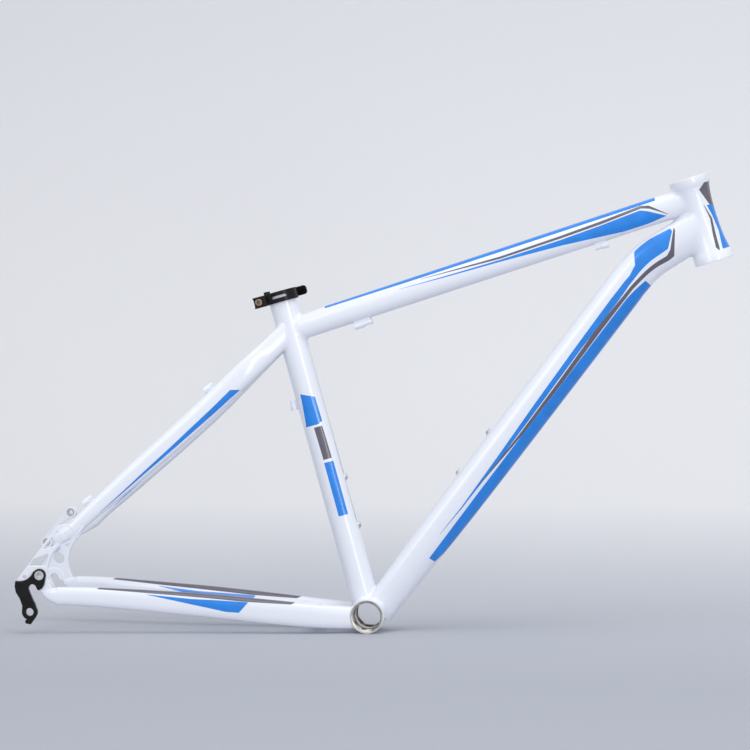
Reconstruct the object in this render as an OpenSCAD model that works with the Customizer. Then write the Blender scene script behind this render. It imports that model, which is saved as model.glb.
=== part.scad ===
// Aluminium mountain-bike frame for 26 inch wheels, with its seat clamp and derailleur hanger.
// Origin: centre of the bottom bracket. +X forward, +Y to the rider's left, +Z up. Millimetres.

/* [Frame geometry] */
// Bottom bracket centre to rear axle
chainstay_length = 425; // [422:1:430]
// Height of the rear axle above the bottom bracket
bb_drop = 37; // [35:1:40]
// Angle of the seat tube to the ground
seat_angle = 74.5; // [74:0.25:75]
// Angle of the head tube to the ground
head_angle = 72; // [71:0.25:73]
// Bottom bracket centre to the top of the seat tube
seat_tube_length = 428; // [425:1:440]
// Horizontal distance from the bottom bracket to the foot of the head tube
head_foot_x = 440; // [436:1:445]
// Height of the foot of the head tube above the bottom bracket
head_foot_z = 453; // [449:1:457]
// Length of the head tube
head_tube_length = 110; // [106:1:116]

/* [Head tube] */
// Outside radius of the rings at both ends
head_ring_r = 25.3; // [24.8:0.1:26]
// Height of each end ring
head_ring_h = 10; // [8:0.5:12]
// Outside radius at the waist
head_waist_r = 20.3; // [20:0.1:21]
// Radius of the bore for the headset cups
cup_bore_r = 22; // [21.95:0.01:22.05]
// Depth of each cup bore
cup_bore_depth = 14; // [12:0.5:16]
// Radius of the bore between the cups
steerer_bore_r = 17; // [16:0.25:17.5]

/* [Seat tube and bottom bracket] */
// Outside diameter of the seat tube
seat_tube_od = 34.9; // [34.9]
// Bore of the seat tube
seat_post_bore = 31.7; // [31.6:0.05:31.8]
// Width of the bottom bracket shell
shell_width = 68; // [68, 73]
// Outside radius of the bottom bracket shell
shell_r = 21.5; // [20.5:0.25:22]
// Radius of the threaded bore of the shell
shell_bore_r = 17.3; // [16.9:0.1:17.4]

/* [Rear end] */
// Width between the inner faces of the dropouts
rear_spacing = 135; // [135]
// Thickness of each dropout
dropout_t = 7; // [6.5:0.25:7.5]
// Diameter of the rear axle slots
axle_slot_d = 10.2; // [10:0.1:10.4]
// Thickness of the derailleur hanger
hanger_t = 6; // [5.5:0.25:6.5]
// Wall of the chainstays and seatstays
stay_wall = 1.6; // [1.4:0.1:2]
// Wall of the top tube and down tube
tube_wall = 1.6; // [1.4:0.1:2]

/* [Seat clamp] */
// Height of the clamp collar
collar_h = 14; // [13:0.5:15]
// Outside radius of the clamp collar
collar_r = 21.2; // [20.8:0.1:21.6]
// Gap between the two ears of the collar
ear_gap = 3; // [2.5:0.25:3.5]
// Distance of the clamping bolt behind the seat tube axis
skewer_back = 28.9; // [28.5:0.1:29.5]

/* [Bottle cage] */
// Spacing of the bottle bolts
bottle_pitch = 64; // [64]

/* [Hidden] */

$fn = 64;
sides = 32;          // corners of the section of a formed tube
stay_sides = 24;     // corners of the section of a stay
eps = 0.01;
right = -1;
left = 1;

axle_x = -sqrt(chainstay_length * chainstay_length - bb_drop * bb_drop);
axle_z = bb_drop;
plate_inner = rear_spacing / 2;
plate_mid = plate_inner + dropout_t / 2;
plate_outer = plate_inner + dropout_t;
axle_face_r = 12;                               // raised face that the hub's locknut bears on
axle_face_step = 0.5;
plate_back = plate_inner + axle_face_step;      // inner side of the plate round that face
pocket_depth = 3;                               // the hanger is let into the right dropout
hanger_outer = plate_outer - pocket_depth + hanger_t;

seat_tube_r = seat_tube_od / 2;
seat_tilt = 90 - seat_angle;
head_tilt = 90 - head_angle;
collar_low = seat_tube_length - 11.5;           // lower face of the collar, along the seat tube
clamp_fit = 0.06;                               // radial clearance of everything that turns

white = [0.93, 0.94, 0.97];
black = [0.05, 0.05, 0.055];
steel = [0.72, 0.72, 0.74];
bare = [0.62, 0.6, 0.56];

// Points on the two main axes, as [x, z]
function on_seat_axis(s) = [-s * sin(seat_tilt), s * cos(seat_tilt)];
function on_head_axis(s) = [head_foot_x - s * sin(head_tilt), head_foot_z + s * cos(head_tilt)];

// ---------------------------------------------------------------------------------------------
// Formed tubes. A tube is a list of stations [x, y, z, half width, half height]; a smooth curve
// runs through them, and each section is a rounded oval square to that curve.
// ---------------------------------------------------------------------------------------------
function unit(v) = v / norm(v);
function xyz(row) = [row[0], row[1], row[2]];

// Row at position u on a smooth curve through the stations
function station(rows, u) =
    let (
        i = min(floor(u), len(rows) - 2),
        t = u - i,
        p0 = rows[max(i - 1, 0)],
        p1 = rows[i],
        p2 = rows[i + 1],
        p3 = rows[min(i + 2, len(rows) - 1)]
    )
    0.5 * (2 * p1 + (p2 - p0) * t + (2 * p0 - 5 * p1 + 4 * p2 - p3) * t * t
        + (3 * p1 - p0 - 3 * p2 + p3) * t * t * t);

function heading(rows, u) =
    let (
        last = len(rows) - 1,
        step = 0.05,
        a = station(rows, max(u - step, 0)),
        b = station(rows, min(u + step, last))
    )
    unit(xyz(b) - xyz(a));

// Signed power, which squares up the corners of an oval
function bulge(c, power) = sign(c) * pow(abs(c), power);

// Corners of one section: inset is the wall, ridge lifts the widest line above the middle
function section(rows, u, n, inset, ridge, power) =
    let (
        row = station(rows, u),
        along = heading(rows, u),
        side = unit(cross(along, [0, 0, 1])),
        up = cross(side, along)
    )
    [for (i = [0 : n - 1])
        let (
            angle = 360 * i / n,
            w = (row[3] - inset) * bulge(cos(angle), power),
            h = (row[4] - inset) * bulge(sin(angle), power) + ridge * pow(cos(angle), 2)
        )
        xyz(row) + w * side + h * up];

// A wall strip between ring k and ring k + 1, facing outwards or inwards
function strip(k, n, base, outwards) =
    [for (i = [0 : n - 1])
        let (
            a = base + k * n + i,
            b = base + k * n + (i + 1) % n,
            c = a + n,
            d = b + n
        )
        each (outwards ? [[a, b, d], [a, d, c]] : [[a, d, b], [a, c, d]])];

module hollow_tube(rows, steps, n, wall, ridge = 0, power = 0.8) {
    last = len(rows) - 1;
    outer = [for (k = [0 : steps]) each section(rows, last * k / steps, n, 0, ridge, power)];
    inner = [for (k = [0 : steps]) each section(rows, last * k / steps, n, wall, ridge, power)];
    base = n * (steps + 1);
    end = n * steps;
    faces = concat(
        [for (k = [0 : steps - 1]) each strip(k, n, 0, true)],
        [for (k = [0 : steps - 1]) each strip(k, n, base, false)],
        [for (i = [0 : n - 1]) let (j = (i + 1) % n) [i, base + i, base + j, j]],
        [for (i = [0 : n - 1]) let (j = (i + 1) % n)
            [end + i, end + j, base + end + j, base + end + i]]
    );
    polyhedron(concat(outer, inner), faces, convexity = 6);
}

module solid_tube(rows, steps, n, ridge = 0, power = 0.8) {
    last = len(rows) - 1;
    points = [for (k = [0 : steps]) each section(rows, last * k / steps, n, 0, ridge, power)];
    faces = concat(
        [for (k = [0 : steps - 1]) each strip(k, n, 0, true)],
        [[for (i = [0 : n - 1]) n - 1 - i]],
        [[for (i = [0 : n - 1]) n * steps + i]]
    );
    polyhedron(points, faces, convexity = 6);
}

// ---------------------------------------------------------------------------------------------
// Placing helpers
// ---------------------------------------------------------------------------------------------
// Z runs up the seat tube from the bottom bracket, X points forward, square to the tube
module at_seat_tube(s = 0) {
    rotate([0, -seat_tilt, 0]) translate([0, 0, s]) children();
}

module at_head_tube() {
    translate([head_foot_x, 0, head_foot_z]) rotate([0, -head_tilt, 0]) children();
}

// A flat shape drawn in X and Z about the rear axle, from y_low to y_high
module side_plate(y_low, y_high) {
    translate([axle_x, y_high, axle_z]) rotate([90, 0, 0]) linear_extrude(y_high - y_low) children();
}

// A cylinder along Y, placed relative to the rear axle
module side_rod(x, z, r, y_low, y_high) {
    side_plate(y_low, y_high) translate([x, z]) circle(r = r);
}

// A point on the down tube's straight stretch: s along it, h square to it
down_tube_angle = 52.8;
down_tube_root = [7.7, 0];

module at_down_tube(s) {
    translate([down_tube_root[0], 0, down_tube_root[1]])
        rotate([0, 90 - down_tube_angle, 0]) translate([0, 0, s]) children();
}

// ---------------------------------------------------------------------------------------------
// Main triangle
// ---------------------------------------------------------------------------------------------
// Outside profile of the head tube as [radius, height]
function head_profile() =
    let (
        length = head_tube_length,
        step = head_ring_h + 2.5,
        bend = length / 2 - step,
        neck = head_ring_r - 1.4
    )
    concat(
        [[head_ring_r, 0], [head_ring_r, head_ring_h]],
        [for (k = [0 : 14])
            let (z = step + (length - 2 * step) * k / 14)
            [head_waist_r + (neck - head_waist_r) * pow(abs(z - length / 2) / bend, 2.6), z]],
        [[head_ring_r, length - head_ring_h], [head_ring_r, length]]
    );

module head_tube_outside() {
    at_head_tube() rotate_extrude() polygon(concat([[0, 0]], head_profile(), [[0, head_tube_length]]));
}

module head_tube() {
    mouth = 0.8;
    color(white) at_head_tube() difference() {
        rotate_extrude() polygon(concat([[0, 0]], head_profile(), [[0, head_tube_length]]));
        translate([0, 0, -1]) cylinder(r = steerer_bore_r, h = head_tube_length + 2);
        translate([0, 0, -1]) cylinder(r = cup_bore_r, h = cup_bore_depth + 1);
        translate([0, 0, head_tube_length - cup_bore_depth]) cylinder(r = cup_bore_r, h = cup_bore_depth + 1);
        translate([0, 0, -eps]) cylinder(r1 = cup_bore_r + mouth, r2 = cup_bore_r, h = mouth);
        translate([0, 0, head_tube_length - mouth + eps])
            cylinder(r1 = cup_bore_r, r2 = cup_bore_r + mouth, h = mouth);
    }
}

module seat_tube_outside(extra = 0) {
    at_seat_tube() cylinder(r = seat_tube_r + extra, h = seat_tube_length);
}

module shell_outside() {
    rotate([90, 0, 0]) cylinder(r = shell_r, h = shell_width, center = true);
}

// Centre lines of the two tubes between the head tube and the seat tube
top_tube_low = on_seat_axis(378);
top_tube_high = on_head_axis(84);

function top_tube_rows() = [
    [top_tube_low[0], 0, top_tube_low[1], 15, 16],
    [(top_tube_low[0] + top_tube_high[0]) / 2, 0, (top_tube_low[1] + top_tube_high[1]) / 2, 15.6, 16.4],
    [top_tube_high[0], 0, top_tube_high[1], 16.5, 17]
];

// The down tube runs straight, then turns to meet the head tube more squarely
down_tube_head = on_head_axis(46.5);
function down_tube_point(s) =
    [down_tube_root[0] + s * cos(down_tube_angle), down_tube_root[1] + s * sin(down_tube_angle)];
function down_tube_row(s, half_w, half_h) =
    let (p = down_tube_point(s))
    [p[0], 0, p[1], half_w, half_h];
function down_tube_rows() = [
    down_tube_row(6, 18, 20),
    down_tube_row(60, 21, 21.3),
    down_tube_row(150, 22.5, 24),
    down_tube_row(240, 22.5, 25),
    down_tube_row(380, 22.5, 25.3),
    down_tube_row(513, 22, 25.2),
    down_tube_row(537, 22, 25),
    [353.2, 0, 450.6, 21.5, 24.8],
    [376.5, 0, 467.4, 21, 24.8],
    [down_tube_head[0], 0, down_tube_head[1], 20, 24.8]
];
down_tube_ridge = 6;

// The plane where the top tube and the down tube meet behind the head tube
module above_tube_mitre(keep_above) {
    mitre_x = 372;
    mitre_z = 497.5;
    mitre_angle = 24;
    slab = 200;
    translate([mitre_x, 0, mitre_z]) rotate([0, -mitre_angle, 0])
        translate([-slab / 2, -slab / 2, keep_above ? 0 : -slab]) cube(slab);
}

module top_tube() {
    color(white) difference() {
        hollow_tube(top_tube_rows(), 8, sides, tube_wall);
        seat_tube_outside();
        head_tube_outside();
        intersection() {
            above_tube_mitre(false);
            translate([340, -50, 400]) cube([120, 100, 200]);
        }
    }
}

module down_tube() {
    color(white) difference() {
        hollow_tube(down_tube_rows(), 18, sides, tube_wall, down_tube_ridge, 0.84);
        seat_tube_outside();
        shell_outside();
        head_tube_outside();
        intersection() {
            above_tube_mitre(true);
            translate([340, -50, 400]) cube([120, 100, 200]);
        }
        for (k = [0, 1]) down_tube_boss_seat(k);
    }
}

// The wall is thick where the seat post slides, and thinner below
module seat_tube() {
    post_reach = 200;
    thin_wall_bore = seat_post_bore + 1;
    bore_taper = 12;
    slot_w = 3;
    slot_h = 26;
    relief_r = 3.5;
    color(white) difference() {
        seat_tube_outside();
        at_seat_tube(post_reach) cylinder(d = seat_post_bore, h = seat_tube_length);
        at_seat_tube(post_reach - bore_taper + eps)
            cylinder(d1 = thin_wall_bore, d2 = seat_post_bore, h = bore_taper);
        at_seat_tube(-1) cylinder(d = thin_wall_bore, h = post_reach - bore_taper + 1 + 2 * eps);
        shell_outside();
        // compression slot at the back, ending in a round relief
        at_seat_tube(seat_tube_length - slot_h) translate([-30, -slot_w / 2, 0]) cube([30, slot_w, slot_h + 1]);
        at_seat_tube(seat_tube_length - slot_h) rotate([0, -90, 0]) cylinder(r = relief_r, h = 30);
        for (k = [0, 1]) seat_tube_boss_seat(k);
    }
}

module bottom_bracket_shell() {
    mouth = 1.6;
    face_r = 20.8;
    color(bare) rotate([90, 0, 0]) difference() {
        cylinder(r = shell_r, h = shell_width, center = true);
        cylinder(r = shell_bore_r, h = shell_width + 2, center = true);
        for (end = [-1, 1]) {
            mirror([0, 0, end < 0 ? 1 : 0]) {
                translate([0, 0, shell_width / 2 - mouth + eps])
                    cylinder(r1 = shell_bore_r, r2 = shell_bore_r + mouth, h = mouth);
                // the rim is faced down to bare metal, with a small step outside it
                translate([0, 0, shell_width / 2 - 0.6]) difference() {
                    cylinder(r = shell_r + 1, h = 1);
                    translate([0, 0, -1]) cylinder(r = face_r, h = 3);
                }
            }
        }
    }
}

// ---------------------------------------------------------------------------------------------
// Stays: deep, flattened tubes that bow round the tyre
// ---------------------------------------------------------------------------------------------
// Ends of the stays at the dropouts, relative to the axle, as [x, y, z, half width, half height]
function chainstay_rows(side) = [
    [axle_x + 32, side * 69.5, axle_z - 10, 7, 11.5],
    [axle_x + 74, side * 64, axle_z - 11.6, 8, 12.3],
    [axle_x + 140, side * 54.5, axle_z - 16.5, 8.5, 13.6],
    [axle_x + 219, side * 45.5, axle_z - 23.2, 9, 15.1],
    [axle_x + 298, side * 39.8, axle_z - 31, 9, 15.6],
    [axle_x + 351, side * 35, axle_z - 36, 9, 15.2],
    [axle_x + 390, side * 28, axle_z - 38.6, 8.7, 14.6],
    [-9, side * 21.5, -2.6, 8, 14]
];

function seatstay_rows(side) = [
    [axle_x + 51.5, side * 69.8, axle_z + 75.5, 6.5, 9.4],
    [axle_x + 72, side * 66, axle_z + 95, 7.3, 10.2],
    [axle_x + 102, side * 59.5, axle_z + 122, 7.8, 11.9],
    [axle_x + 132, side * 53.5, axle_z + 149, 8, 13.1],
    [axle_x + 178, side * 46, axle_z + 190, 8, 14.1],
    [axle_x + 222, side * 40, axle_z + 230.5, 8, 14.5],
    [axle_x + 264, side * 30.5, axle_z + 272, 8, 14.4],
    [axle_x + 293, side * 18.5, axle_z + 300, 8, 14.1],
    [axle_x + 324, side * 8, axle_z + 331, 7, 13.6]
];

module chainstay(side) {
    difference() {
        hollow_tube(chainstay_rows(side), 14, stay_sides, stay_wall, 0, 0.72);
        shell_outside();
    }
}

module seatstay(side) {
    difference() {
        hollow_tube(seatstay_rows(side), 15, stay_sides, stay_wall, 0, 0.76);
        seat_tube_outside();
    }
}

module right_chainstay() { color(white) chainstay(right); }
module left_chainstay() { color(white) chainstay(left); }
module right_seatstay() { color(white) seatstay(right); }
module left_seatstay() { color(white) seatstay(left); }

// A cross tube between a pair of stays
module cross_tube(x, z, r, reach) {
    translate([x, 0, z]) rotate([90, 0, 0]) difference() {
        cylinder(r = r, h = 2 * reach, center = true);
        cylinder(r = r - 1.8, h = 2 * reach + 1, center = true);
    }
}

module chainstay_bridge() {
    color(white) difference() {
        cross_tube(axle_x + 358, axle_z - 34, 7, 33);
        for (side = [right, left]) solid_tube(chainstay_rows(side), 14, stay_sides, 0, 0.72);
    }
}

module seatstay_bridge() {
    color(white) difference() {
        cross_tube(axle_x + 252, axle_z + 260, 7.5, 36);
        for (side = [right, left]) solid_tube(seatstay_rows(side), 15, stay_sides, 0, 0.76);
    }
}

// ---------------------------------------------------------------------------------------------
// Dropouts: all outlines are drawn relative to the rear axle
// ---------------------------------------------------------------------------------------------
slot_angle = -67;

module axle_slot(r, length = 40) {
    circle(r = r);
    rotate(slot_angle) translate([0, -r]) square([length, 2 * r]);
}

// Outside of the plate: strut along the back, arm to the seatstay, foot to the chainstay
module dropout_outline() {
    difference() {
        polygon([
            [-22, 8.7], [32.4, 80.4], [45.5, 82.8], [52, 90], [66, 78], [60, 70], [32.3, 49.6],
            [50, 30], [44, 0], [44, -16], [30, -17], [7.5, -2.6], [5, -14], [-5, -12], [-20, -3]
        ]);
        translate([64, 21]) circle(r = 45);
    }
}

// Lightening windows, with rounded corners
module upper_window() {
    polygon([[13, 49.6], [32, 73.5], [33.4, 70], [28.6, 55.5], [26, 53.5]]);
}

module right_dropout_profile() {
    difference() {
        dropout_outline();
        upper_window();
        polygon([[1.5, 37], [19, 43.8], [20.4, 42], [16.8, 29.5], [14.8, 28.8], [-4.5, 28.5]]);
        axle_slot(axle_slot_d / 2 + 0.1);
    }
}

module left_dropout_profile() {
    difference() {
        union() {
            dropout_outline();
            // rear jaw of the slot
            polygon([[-22, 8.7], [-21.5, -4], [-13, -17], [-3, -22], [4, -16], [0, 0]]);
        }
        upper_window();
        translate([6.4, 24.3]) circle(r = 6.8);
        polygon([[17.5, 40], [21.5, 45.5], [14.5, 42]]);
        axle_slot(axle_slot_d / 2);
    }
}

// The ends of the stays grow out of the plate
module stay_sockets(side) {
    stay = seatstay_rows(side);
    chain = chainstay_rows(side);
    solid_tube([
        [axle_x + 28, side * plate_mid, axle_z + 60, 3.4, 7],
        [axle_x + 38, side * plate_mid, axle_z + 66.5, 5.4, 8.6],
        stay[0] - [0.01, 0, 0.01, 0, 0]
    ], 4, stay_sides, 0, 0.76);
    solid_tube([
        [axle_x + 13, side * plate_mid, axle_z - 6.6, 3.4, 3.8],
        [axle_x + 22, side * plate_mid, axle_z - 8.4, 5.6, 8.4],
        chain[0] - [0.01, 0, 0, 0, 0]
    ], 4, stay_sides, 0, 0.72);
}

eyelet = [-10.5, 13.8];
eyelet_r = 2.5;
hanger_bolt_at = [8.8, 16.6];
hanger_bolt_r = 3;
derailleur_at = [-3.6, -30.2];
derailleur_thread_r = 5;

// The space the two stays of one side take up
module both_stays(side) {
    solid_tube(chainstay_rows(side), 14, stay_sides, 0, 0.72);
    solid_tube(seatstay_rows(side), 15, stay_sides, 0, 0.76);
}

module axle_face() {
    intersection() {
        circle(r = axle_face_r);
        children();
    }
}

module right_dropout() {
    color(white) difference() {
        union() {
            side_plate(-plate_outer, -plate_back) right_dropout_profile();
            side_plate(-plate_back, -plate_inner) axle_face() right_dropout_profile();
            stay_sockets(right);
        }
        both_stays(right);
        hanger_blank(-plate_outer - 1, -plate_outer + pocket_depth);
        side_rod(eyelet[0], eyelet[1], eyelet_r, -plate_outer - 1, -plate_inner + 1);
        side_rod(hanger_bolt_at[0], hanger_bolt_at[1], nut_sleeve_r, -plate_outer - 1, -plate_inner + 1);
        side_rod(hanger_bolt_at[0], hanger_bolt_at[1], nut_flange_r, -plate_inner - 1.2, -plate_inner + 1);
    }
}

module left_dropout() {
    color(white) difference() {
        union() {
            side_plate(plate_back, plate_outer) left_dropout_profile();
            side_plate(plate_inner, plate_back) axle_face() left_dropout_profile();
            stay_sockets(left);
        }
        both_stays(left);
        side_rod(eyelet[0], eyelet[1], eyelet_r, plate_inner - 1, plate_outer + 1);
    }
}

// Two lugs behind the left dropout carry the disc brake calliper
disc_lug_low = [-8, 47];
disc_lug_pitch = 51;
disc_lug_angle = 51;
disc_face = 56;
disc_plate_t = 5.5;
disc_hole_r = 3.2;

// A flat shape drawn from the lower lug, with X towards the upper one
module at_disc_lugs(y_low, y_high) {
    side_plate(y_low, y_high) translate(disc_lug_low) rotate(disc_lug_angle) children();
}

module disc_brake_mount() {
    lug_r = 7.6;
    foot_w = 10;
    foot_reach = [16, 17];       // from each lug's centre onto the inner side of the dropout
    color(bare) difference() {
        union() {
            for (k = [0, 1]) {
                at_disc_lugs(disc_face, plate_back) translate([k * disc_lug_pitch, 0]) circle(r = lug_r);
                at_disc_lugs(disc_face + disc_plate_t, plate_back)
                    translate([k * disc_lug_pitch - foot_w / 2, -foot_reach[k]]) square([foot_w, foot_reach[k]]);
            }
            // web between the lugs, scooped out on the wheel's side
            at_disc_lugs(disc_face, disc_face + disc_plate_t) difference() {
                translate([0, -3]) square([disc_lug_pitch, 9.6]);
                translate([disc_lug_pitch / 2, -29]) circle(r = 30);
            }
        }
        for (k = [0, 1])
            at_disc_lugs(disc_face - 1, plate_back + 1) translate([k * disc_lug_pitch, 0]) circle(r = disc_hole_r);
        solid_tube(seatstay_rows(left), 15, stay_sides, 0, 0.76);
        stay_sockets(left);
    }
}

// ---------------------------------------------------------------------------------------------
// Derailleur hanger
// ---------------------------------------------------------------------------------------------
boss_r = 8;
foot_r = 10;
nut_sleeve_r = 4.2;
nut_flange_r = 6.2;

// The hanger's shape between two planes: also the pocket it sits in
module hanger_blank(y_low, y_high) {
    difference() {
        union() {
            side_rod(hanger_bolt_at[0], hanger_bolt_at[1], boss_r, y_low, y_high);
            side_rod(derailleur_at[0], derailleur_at[1], foot_r, y_low, y_high);
            // body round the slot, and the arm that hangs from it
            side_plate(y_low, y_high) polygon([
                [-22.2, 8.7], [3, 22], [8.8, 24.6], [16.7, 15.5], [14.8, 5], [12, 0], [7.9, -2.4],
                [4, -1], [4, -12], [2.3, -17.2], [6.3, -29], [-13.5, -29], [-13.2, -22],
                [-16.5, -13], [-21.4, -5.4], [-22.9, 2.3]
            ]);
            // stop for the derailleur's adjusting screw
            side_plate(y_low, y_high)
                polygon([[4, -37], [-2.4, -46], [-8.8, -44.9], [-9.6, -41.6], [-7, -39], [-4, -30], [2, -30]]);
        }
        // hollow above the shoulder
        side_rod(-17, 28, 19.3, y_low - 1, y_high + 1);
        side_plate(y_low - 1, y_high + 1) axle_slot(axle_slot_d / 2, 17);
    }
}

module derailleur_hanger() {
    color(black) difference() {
        hanger_blank(-hanger_outer, -plate_outer + pocket_depth);
        side_rod(derailleur_at[0], derailleur_at[1], derailleur_thread_r, -hanger_outer - 1, -plate_inner);
        side_rod(hanger_bolt_at[0], hanger_bolt_at[1], hanger_bolt_r + 0.15, -hanger_outer - 1, -plate_inner);
        // seat for the bolt head
        side_rod(hanger_bolt_at[0], hanger_bolt_at[1], 6.2, -hanger_outer - 1, -hanger_outer + 1.5);
    }
}

module hanger_bolt() {
    head_t = 2.4;
    color(steel) difference() {
        union() {
            side_rod(hanger_bolt_at[0], hanger_bolt_at[1], 6, -hanger_outer + 1.5 - head_t, -hanger_outer + 1.5);
            side_rod(hanger_bolt_at[0], hanger_bolt_at[1], hanger_bolt_r - 0.05,
                -hanger_outer + 1.5 - eps, -plate_inner - 1);
        }
        // hexagon socket
        side_plate(-hanger_outer - 2, -hanger_outer + 2) translate(hanger_bolt_at) circle(r = 2.6, $fn = 6);
    }
}

module hanger_nut() {
    color(steel) difference() {
        union() {
            side_rod(hanger_bolt_at[0], hanger_bolt_at[1], nut_flange_r - 0.1, -plate_inner - 1.2, -plate_inner);
            side_rod(hanger_bolt_at[0], hanger_bolt_at[1], nut_sleeve_r - 0.05,
                -plate_outer + pocket_depth + 0.2, -plate_inner - 1.2 + eps);
        }
        side_rod(hanger_bolt_at[0], hanger_bolt_at[1], hanger_bolt_r, -plate_outer, -plate_inner + 1);
    }
}

// ---------------------------------------------------------------------------------------------
// Cable stops
// ---------------------------------------------------------------------------------------------
housing_r = 2.7;
cable_r = 1;
stop_r = 4.4;

// One stop along X: a slim neck for the bare cable, then a wider socket for the housing,
// standing on a foot of the given height
module cable_stop(length, foot_h) {
    socket = length / 2;
    foot_w = 5.2;
    difference() {
        union() {
            rotate([0, 90, 0]) cylinder(r = stop_r - 1.1, h = length);
            translate([length - socket, 0, 0]) rotate([0, 90, 0]) cylinder(r = stop_r, h = socket);
            translate([1, -foot_w / 2, 0]) cube([length - 2, foot_w, foot_h]);
        }
        translate([length - socket + 2, 0, 0]) rotate([0, 90, 0]) cylinder(r = housing_r, h = length);
        translate([-1, 0, 0]) rotate([0, 90, 0]) cylinder(r = cable_r, h = length + 2);
    }
}

// s runs along the top tube from the seat tube, and drop is below its centre line
module at_top_tube(s, drop) {
    run = top_tube_high - top_tube_low;
    translate([top_tube_low[0], 0, top_tube_low[1]]) rotate([0, -atan2(run[1], run[0]), 0])
        translate([s, 0, -drop]) children();
}

// A pair of stops side by side; the sockets face forwards or backwards
module top_tube_stops(s, length, forwards) {
    half_pitch = 5.4;
    below = 21;
    difference() {
        for (y = [-half_pitch, half_pitch])
            at_top_tube(s, below) translate([0, y, 0]) mirror([forwards ? 0 : 1, 0, 0])
                cable_stop(length, 7);
        solid_tube(top_tube_rows(), 8, sides);
    }
}

module top_tube_rear_cable_stop() { color(white) top_tube_stops(104, 24, false); }
module top_tube_front_cable_stop() { color(white) top_tube_stops(403, 18, true); }

// A stop on the upper edge of the right seatstay, at position u along its stations
module seatstay_stop(u, lift) {
    rows = seatstay_rows(right);
    row = station(rows, u);
    way = heading(rows, u);
    difference() {
        translate(xyz(row)) rotate([0, 0, atan2(way[1], way[0])])
            rotate([0, -asin(way[2]), 0]) translate([7, 0, lift])
            mirror([1, 0, 0]) rotate([180, 0, 0]) cable_stop(14, lift);
        solid_tube(rows, 15, stay_sides, 0, 0.76);
    }
}

module seatstay_upper_cable_stop() { color(white) seatstay_stop(5.27, 18.6); }
module seatstay_lower_cable_stop() { color(white) seatstay_stop(1.26, 14.6); }

module seat_tube_cable_stop() {
    color(white) difference() {
        at_seat_tube(291) translate([-22.4, 0, 0]) rotate([0, -90, 0]) rotate([0, 0, 180])
            rotate([180, 0, 0]) cable_stop(13, 7);
        seat_tube_outside();
    }
}

// ---------------------------------------------------------------------------------------------
// Bottle cage bosses: a flanged threaded insert in the tube wall and a button-head bolt
// ---------------------------------------------------------------------------------------------
insert_r = 3.9;
insert_flange_r = 5.6;
insert_flange_t = 1.2;
insert_depth = 7;
bottle_thread_r = 2.5;
bolt_head_r = 4.6;

down_tube_boss_s = 211.5;
seat_tube_boss_sink = 0.9;          // how far the flange sits into the round tube
seat_tube_boss_s = 114.5;
down_tube_face = [24.6, 25];       // height of the tube's upper face at each boss

module boss_insert() {
    difference() {
        union() {
            cylinder(r = insert_flange_r, h = insert_flange_t);
            translate([0, 0, -insert_depth]) cylinder(r = insert_r, h = insert_depth + eps);
        }
        translate([0, 0, -insert_depth - 1]) cylinder(r = bottle_thread_r, h = insert_depth + 5);
    }
}

module boss_bolt() {
    difference() {
        union() {
            translate([0, 0, insert_flange_t + 0.05]) cylinder(r1 = bolt_head_r, r2 = bolt_head_r - 1.6, h = 2.6);
            translate([0, 0, -insert_depth - 4]) cylinder(r = bottle_thread_r - 0.05, h = insert_depth + 6);
        }
        translate([0, 0, insert_flange_t + 0.8]) cylinder(r = 1.75, h = 3, $fn = 6);
    }
}

module at_down_tube_boss(k) {
    at_down_tube(down_tube_boss_s + k * bottle_pitch) translate([-down_tube_face[k], 0, 0])
        rotate([0, -90, 0]) children();
}

module at_seat_tube_boss(k) {
    at_seat_tube(seat_tube_boss_s + k * bottle_pitch)
        translate([seat_tube_r - seat_tube_boss_sink, 0, 0]) rotate([0, 90, 0]) children();
}

// Clearance for a boss in a tube wall
module boss_room() {
    translate([0, 0, -insert_depth]) cylinder(r = insert_r, h = insert_depth + 10);
    cylinder(r = insert_flange_r, h = 5);
}

module down_tube_boss_seat(k) { at_down_tube_boss(k) boss_room(); }
module seat_tube_boss_seat(k) { at_seat_tube_boss(k) boss_room(); }

module down_tube_bottle_bosses() {
    color(white) for (k = [0, 1]) at_down_tube_boss(k) boss_insert();
}

module down_tube_bottle_bolts() {
    color(steel) for (k = [0, 1]) at_down_tube_boss(k) boss_bolt();
}

module seat_tube_bottle_bosses() {
    color(white) for (k = [0, 1]) at_seat_tube_boss(k) boss_insert();
}

module seat_tube_bottle_bolts() {
    color(steel) for (k = [0, 1]) at_seat_tube_boss(k) boss_bolt();
}

// ---------------------------------------------------------------------------------------------
// Quick-release seat clamp. Its own frame: Z up the seat tube, X forward, collar from 0 to collar_h
// ---------------------------------------------------------------------------------------------
skewer_r = 2.5;
ear_w = 8.5;
ear_back = skewer_back + 7;
ear_outer = ear_gap / 2 + ear_w;
nut_r = 4.6;
washer_t = 2;
cam_r = 7.5;
cam_throw = 0.8;
cam_gap = 0.2;
barrel_r = 4;
pivot_y = ear_outer + washer_t + cam_gap + cam_r + cam_throw;
lever_h = 11.8;
lever_low = 2.2;
lever_reach = skewer_back + 32;
fork_h = 6.2;
fork_low = (collar_h - fork_h) / 2 - lever_low;   // the fork straddles the bolt

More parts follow.
